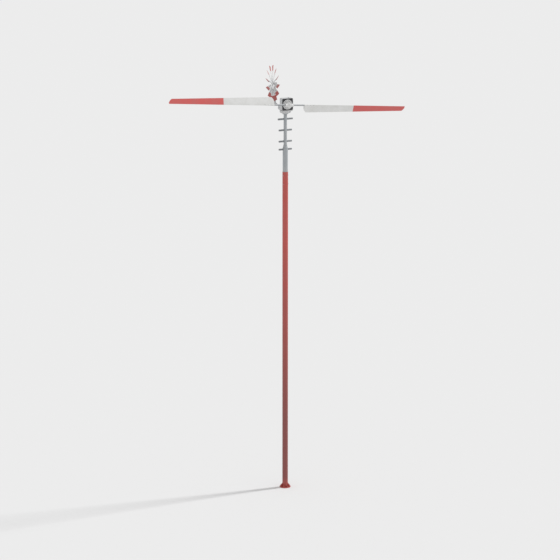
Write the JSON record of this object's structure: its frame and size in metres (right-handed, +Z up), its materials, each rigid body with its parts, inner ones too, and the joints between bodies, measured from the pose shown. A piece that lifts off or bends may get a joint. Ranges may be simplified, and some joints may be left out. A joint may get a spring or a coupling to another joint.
{
  "type": "wind turbine",
  "caption": "Tall tubular mast with climbing rungs carrying a geared two-blade wind turbine and a side wheel that turns it into the wind.",
  "frame": {"origin": "centre of the base flange's underside, on the mast axis", "axes": "+Z up the mast; the rotor faces -Y and the tail boom with the side wheel points to +Y when the nacelle stands at rest"},
  "size_m": [6.9332, 1.5014, 11.6618],
  "materials": {
    "red_paint": "weathered satin paint",
    "grey_paint": "weathered satin paint",
    "case_paint": "satin paint",
    "dark_plate": "matt dark paint",
    "blade_paint": "gloss paint over laminated wood",
    "galvanised": "galvanised",
    "machined": "machined and oiled",
    "cast_hub": "painted casting",
    "bronze": "turned",
    "alloy": "cast",
    "spring_steel": "drawn wire"
  },
  "bodies": {
    "mast": {"base_flange": "red_paint", "base_gussets": "red_paint", "lower_mast": "red_paint", "joint_bolts": "galvanised", "upper_mast": "grey_paint", "mast_reducer": "grey_paint", "neck_tube": "grey_paint", "step_rungs": "galvanised", "mast_head": "grey_paint", "slewing_inner_ring": "machined", "slewing_balls": "machined", "yaw_gear": "machined"},
    "nacelle": {"slewing_outer_ring": "machined", "yaw_housing": "case_paint", "bedplate": "case_paint", "gear_case": "case_paint", "front_plate": "dark_plate", "rear_plate": "case_paint", "main_bearings": "machined", "rear_bearing_cap": "cast_hub", "case_screws": "galvanised", "gear_cover": "cast_hub", "gear_cover_bolts": "galvanised", "generator_flange": "alloy", "generator_body": "alloy", "generator_stator": "machined", "generator_end_cover": "alloy", "drive_box": "case_paint", "drive_box_lid": "case_paint", "tail_boom": "grey_paint", "tail_elbow": "case_paint", "tail_post": "grey_paint", "fantail_gearbox": "case_paint", "gearbox_lids": "case_paint"},
    "rotor": {"main_shaft": "machined", "main_gear": "machined", "rotor_hub": "cast_hub", "hub_cover": "cast_hub", "nose_cap": "cast_hub", "guide_pin": "machined", "governor_spring": "spring_steel"},
    "blade_a_root": {"blade_a": "blade_paint", "blade_shaft_a": "galvanised", "pitch_gear_a": "machined"},
    "blade_b_root": {"blade_b": "blade_paint", "blade_shaft_b": "galvanised", "pitch_gear_b": "machined"},
    "pitch_crosshead": {"crosshead": "bronze"},
    "generator_rotor": {"generator_shaft": "machined", "generator_pinion": "machined"},
    "yaw_pinion": {"yaw_pinion_shaft": "machined", "yaw_bevel": "machined"},
    "boom_drive": {"boom_shaft": "machined", "boom_bevels": "machined"},
    "post_drive": {"post_shaft": "machined", "post_bevels": "machined"},
    "fantail": {"fantail_shaft": "machined", "fantail_hub": "cast_hub", "fantail_spokes": "galvanised", "fantail_blades": "blade_paint"}
  },
  "joints": [
    {"name": "nacelle_yaw", "type": "hinge", "parent": "mast", "child": "nacelle", "pos_m": [0, 0, 10.474], "axis": [0, 0, 1], "continuous": true},
    {"name": "rotor_spin", "type": "hinge", "parent": "nacelle", "child": "rotor", "pos_m": [0, -0.25, 10.714], "axis": [0, -1, 0], "continuous": true},
    {"name": "blade_a_pitch", "type": "hinge", "parent": "rotor", "child": "blade_a_root", "pos_m": [0, -0.25, 10.714], "axis": [0.9965, 0, -0.0837], "range_deg": [0, 70]},
    {"name": "blade_b_pitch", "type": "hinge", "parent": "rotor", "child": "blade_b_root", "pos_m": [0, -0.25, 10.714], "axis": [-0.9965, 0, 0.0837], "range_deg": [0, 70]},
    {"name": "crosshead_slide", "type": "slide", "parent": "rotor", "child": "pitch_crosshead", "axis": [0, -1, 0], "range_m": [0, 0.02138], "deforming": ["governor_spring"]},
    {"name": "generator_spin", "type": "hinge", "parent": "nacelle", "child": "generator_rotor", "pos_m": [-0.09697, 0, 10.58989], "axis": [0, -1, 0], "continuous": true},
    {"name": "yaw_pinion_spin", "type": "hinge", "parent": "nacelle", "child": "yaw_pinion", "pos_m": [0, 0.1225, 10.5], "axis": [0, 0, 1], "continuous": true},
    {"name": "boom_spin", "type": "hinge", "parent": "nacelle", "child": "boom_drive", "pos_m": [0, 0.4, 10.6], "axis": [0, 1, 0], "continuous": true},
    {"name": "post_spin", "type": "hinge", "parent": "nacelle", "child": "post_drive", "pos_m": [0, 0.645, 10.8], "axis": [0, 0, 1], "continuous": true},
    {"name": "fantail_spin", "type": "hinge", "parent": "nacelle", "child": "fantail", "pos_m": [-0.07565, 0.65228, 11.172], "axis": [-0.9954, 0.0958, 0], "continuous": true}
  ],
  "couplings": [
    {"joint": "blade_b_pitch", "follows": "blade_a_pitch", "ratio": 1},
    {"joint": "crosshead_slide", "follows": "blade_a_pitch", "m_per_rad": 0.0175},
    {"joint": "generator_spin", "follows": "rotor_spin", "ratio": -4},
    {"joint": "yaw_pinion_spin", "follows": "nacelle_yaw", "ratio": 6},
    {"joint": "boom_spin", "follows": "nacelle_yaw", "ratio": 12},
    {"joint": "post_spin", "follows": "nacelle_yaw", "ratio": 12},
    {"joint": "fantail_spin", "follows": "nacelle_yaw", "ratio": 24}
  ]
}
